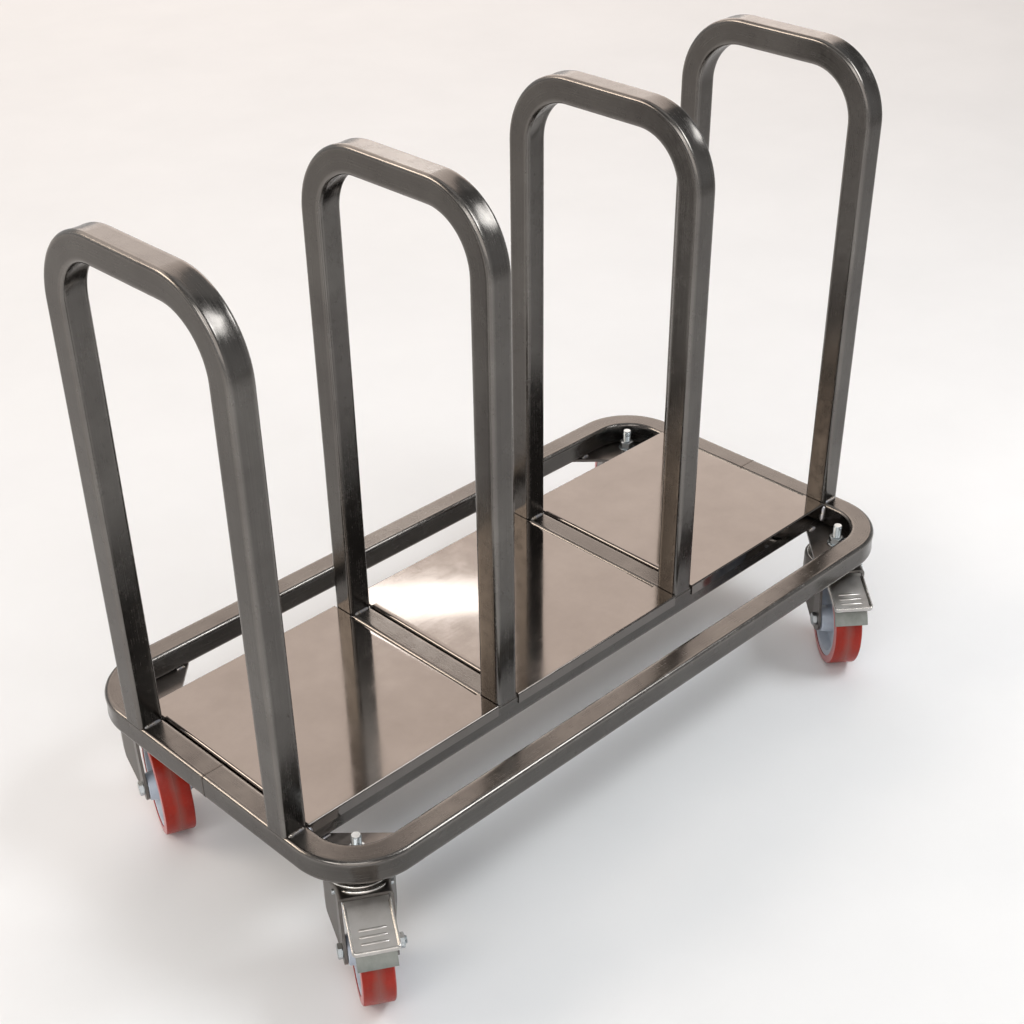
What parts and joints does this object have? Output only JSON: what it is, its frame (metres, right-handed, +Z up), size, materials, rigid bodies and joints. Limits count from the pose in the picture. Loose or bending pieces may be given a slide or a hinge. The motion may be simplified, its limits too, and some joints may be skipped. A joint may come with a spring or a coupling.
{
  "type": "ingredient bin trolley",
  "caption": "Low stainless tube trolley on swivel castors, with a sheet deck in bays and upright hoops between them that keep ingredient bins apart.",
  "frame": {"origin": "on the floor, under the middle of the tube ring", "axes": "+X along the trolley towards its right end, +Y towards its far side, +Z up"},
  "size_m": [1.0194, 0.5978, 0.8001],
  "materials": {
    "stainless_tube": "satin",
    "stainless_sheet": "bright",
    "stainless_plate": "satin",
    "castor_steel": "zinc plated",
    "zinc_fastener": "bright zinc",
    "bearing_steel": "polished",
    "wheel_hub": "moulded",
    "wheel_tread": "polyurethane"
  },
  "bodies": {
    "frame": {"ring_near_half": "stainless_tube", "ring_far_half": "stainless_tube", "hoop_1": "stainless_tube", "hoop_2": "stainless_tube", "hoop_3": "stainless_tube", "hoop_4": "stainless_tube", "inner_rail_near": "stainless_tube", "inner_rail_far": "stainless_tube", "cross_tube_1": "stainless_tube", "cross_tube_2": "stainless_tube", "deck_panel_1": "stainless_sheet", "deck_panel_2": "stainless_sheet", "deck_panel_3": "stainless_sheet", "hoop_weld_beads": "stainless_tube", "corner_plate_near_left": "stainless_plate", "corner_plate_near_right": "stainless_plate", "corner_plate_far_left": "stainless_plate", "corner_plate_far_right": "stainless_plate", "castor_top_races": "castor_steel", "castor_lower_races": "castor_steel", "castor_king_bolts": "zinc_fastener", "castor_washers": "zinc_fastener", "castor_king_nuts": "zinc_fastener"},
    "castor_near_left": {"fork_near_left": "castor_steel", "race_balls_near_left": "bearing_steel", "axle_sleeve_near_left": "bearing_steel", "axle_bolt_near_left": "zinc_fastener", "axle_nut_near_left": "zinc_fastener", "brake_pin_near_left": "zinc_fastener"},
    "wheel_near_left": {"wheel_hub_near_left": "wheel_hub", "wheel_tread_near_left": "wheel_tread"},
    "pedal_near_left": {"brake_pedal_near_left": "castor_steel", "brake_shoe_near_left": "castor_steel"},
    "castor_near_right": {"fork_near_right": "castor_steel", "race_balls_near_right": "bearing_steel", "axle_sleeve_near_right": "bearing_steel", "axle_bolt_near_right": "zinc_fastener", "axle_nut_near_right": "zinc_fastener", "brake_pin_near_right": "zinc_fastener"},
    "wheel_near_right": {"wheel_hub_near_right": "wheel_hub", "wheel_tread_near_right": "wheel_tread"},
    "pedal_near_right": {"brake_pedal_near_right": "castor_steel", "brake_shoe_near_right": "castor_steel"},
    "castor_far_left": {"fork_far_left": "castor_steel", "race_balls_far_left": "bearing_steel", "axle_sleeve_far_left": "bearing_steel", "axle_bolt_far_left": "zinc_fastener", "axle_nut_far_left": "zinc_fastener"},
    "wheel_far_left": {"wheel_hub_far_left": "wheel_hub", "wheel_tread_far_left": "wheel_tread"},
    "castor_far_right": {"fork_far_right": "castor_steel", "race_balls_far_right": "bearing_steel", "axle_sleeve_far_right": "bearing_steel", "axle_bolt_far_right": "zinc_fastener", "axle_nut_far_right": "zinc_fastener"},
    "wheel_far_right": {"wheel_hub_far_right": "wheel_hub", "wheel_tread_far_right": "wheel_tread"}
  },
  "joints": [
    {"name": "swivel_near_left", "type": "hinge", "parent": "frame", "child": "castor_near_left", "pos_m": [-0.433, -0.193, 0.1395], "axis": [0, 0, 1], "continuous": true},
    {"name": "roll_near_left", "type": "hinge", "parent": "castor_near_left", "child": "wheel_near_left", "pos_m": [-0.45756, -0.23307, 0.0625], "axis": [0.8526, -0.5225, 0], "continuous": true},
    {"name": "brake_near_left", "type": "hinge", "parent": "castor_near_left", "child": "pedal_near_left", "pos_m": [-0.44554, -0.21346, 0.13], "axis": [0.8526, -0.5225, 0], "range_deg": [0, 5.8]},
    {"name": "swivel_near_right", "type": "hinge", "parent": "frame", "child": "castor_near_right", "pos_m": [0.433, -0.193, 0.1395], "axis": [0, 0, 1], "continuous": true},
    {"name": "roll_near_right", "type": "hinge", "parent": "castor_near_right", "child": "wheel_near_right", "pos_m": [0.40279, -0.229, 0.0625], "axis": [0.766, -0.6428, 0], "continuous": true},
    {"name": "brake_near_right", "type": "hinge", "parent": "castor_near_right", "child": "pedal_near_right", "pos_m": [0.41757, -0.21138, 0.13], "axis": [0.766, -0.6428, 0], "range_deg": [0, 5.8]},
    {"name": "swivel_far_left", "type": "hinge", "parent": "frame", "child": "castor_far_left", "pos_m": [-0.433, 0.193, 0.1395], "axis": [0, 0, 1], "continuous": true},
    {"name": "roll_far_left", "type": "hinge", "parent": "castor_far_left", "child": "wheel_far_left", "pos_m": [-0.45099, 0.14958, 0.0625], "axis": [0.9239, -0.3827, 0], "continuous": true},
    {"name": "swivel_far_right", "type": "hinge", "parent": "frame", "child": "castor_far_right", "pos_m": [0.433, 0.193, 0.1395], "axis": [0, 0, 1], "continuous": true},
    {"name": "roll_far_right", "type": "hinge", "parent": "castor_far_right", "child": "wheel_far_right", "pos_m": [0.45791, 0.23286, 0.0625], "axis": [-0.848, 0.5299, 0], "continuous": true}
  ]
}
